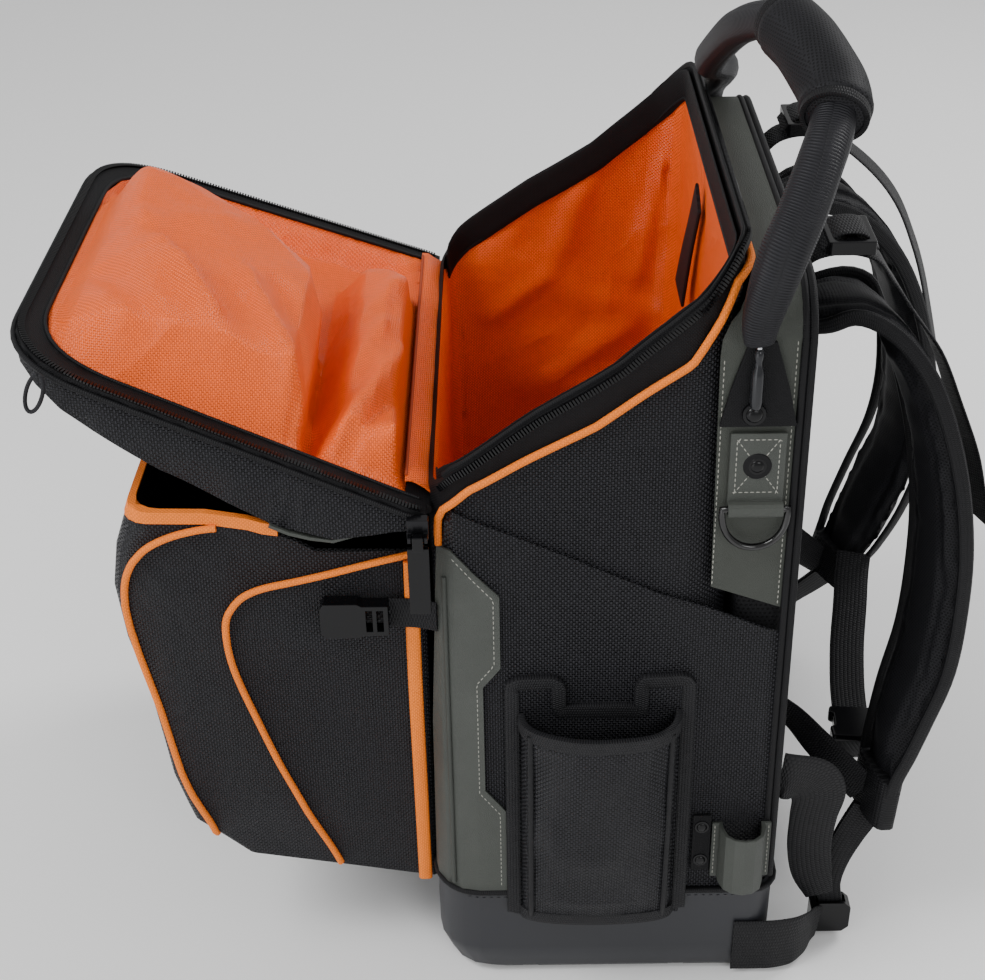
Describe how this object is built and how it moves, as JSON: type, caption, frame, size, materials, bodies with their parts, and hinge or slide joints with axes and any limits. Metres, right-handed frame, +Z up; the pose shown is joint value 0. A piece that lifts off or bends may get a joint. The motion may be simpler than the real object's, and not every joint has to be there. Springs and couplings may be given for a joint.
{
  "type": "tool backpack",
  "caption": "Open tool backpack: moulded base, slanted zipped mouth with the lid folded forward, front pouch, side holster, carry handle and padded shoulder harness.",
  "frame": {"origin": "middle of the base tub's underside, on the floor it stands on", "axes": "+X towards the wearer's right, +Y from the front pouch to the wearer's back, +Z up"},
  "size_m": [0.3943, 0.5741, 0.5981],
  "materials": {
    "ballistic_weave": "matte coarse weave",
    "orange_lining": "soft woven cloth",
    "grey_leather": "fine grain, low sheen",
    "moulded_base": "smooth moulded",
    "orange_trim": "taped binding",
    "black_webbing": "ribbed webbing",
    "air_mesh": "knitted spacer mesh",
    "black_metal": "gloss black",
    "bright_steel": "satin",
    "buckle_plastic": "semi gloss",
    "grey_webbing": "flat tape"
  },
  "bodies": {
    "pack": {"base_tub": "moulded_base", "pack_shell": "ballistic_weave", "pack_lining": "orange_lining", "mouth_band": "black_webbing", "mouth_piping": "orange_trim", "back_pad": "air_mesh", "yoke_panel": "grey_leather", "tool_holster": "ballistic_weave", "tool_loop": "grey_leather", "tool_loop_tab": "black_webbing", "handle_link": "bright_steel", "carry_handle": "black_webbing", "handle_grip": "air_mesh", "lid_shell": "ballistic_weave", "lid_band": "black_webbing", "lid_pocket": "orange_lining", "lid_loop": "grey_webbing", "lid_pull": "black_webbing", "zip_slider": "black_metal", "pouch_shell": "ballistic_weave", "pouch_mouth_binding": "orange_trim", "chest_buckle": "buckle_plastic", "slip_pocket_right": "ballistic_weave", "corner_patch_right": "grey_leather", "ring_tab_right": "grey_leather", "handle_anchor_right": "black_webbing", "pouch_binding_right": "orange_trim", "pouch_piping_right": "orange_trim", "pouch_panel_piping_right": "orange_trim", "buckle_socket_right": "buckle_plastic", "buckle_strap_right": "black_webbing", "shoulder_pad_right": "air_mesh", "load_strap_right": "black_webbing", "load_buckle_right": "buckle_plastic", "base_strap_right": "black_webbing", "side_strap_right": "black_webbing", "strap_adjuster_right": "buckle_plastic", "pad_web_right": "black_webbing", "chest_strap_right": "black_webbing", "slip_pocket_left": "ballistic_weave", "corner_patch_left": "grey_leather", "ring_tab_left": "grey_leather", "handle_anchor_left": "black_webbing", "pouch_binding_left": "orange_trim", "pouch_piping_left": "orange_trim", "pouch_panel_piping_left": "orange_trim", "buckle_socket_left": "buckle_plastic", "buckle_strap_left": "black_webbing", "shoulder_pad_left": "air_mesh", "load_strap_left": "black_webbing", "load_buckle_left": "buckle_plastic", "base_strap_left": "black_webbing", "side_strap_left": "black_webbing", "strap_adjuster_left": "buckle_plastic", "pad_web_left": "black_webbing", "chest_strap_left": "black_webbing"},
    "right_ring": {"d_ring_right": "black_metal"},
    "left_ring": {"d_ring_left": "black_metal"},
    "pull_tab": {"zip_pull": "buckle_plastic"}
  },
  "joints": [
    {"name": "right_ring_swing", "type": "hinge", "parent": "pack", "child": "right_ring", "pos_m": [0.16889, 0.07622, 0.35247], "axis": [0, -1, 0], "range_deg": [0, 150]},
    {"name": "left_ring_swing", "type": "hinge", "parent": "pack", "child": "left_ring", "pos_m": [-0.16889, 0.07622, 0.35247], "axis": [0, 1, 0], "range_deg": [0, 150]},
    {"name": "pull_tab_swing", "type": "hinge", "parent": "pack", "child": "pull_tab", "pos_m": [0.1741, -0.108, 0.339], "axis": [0, -1, 0], "range_deg": [0, 110]}
  ]
}
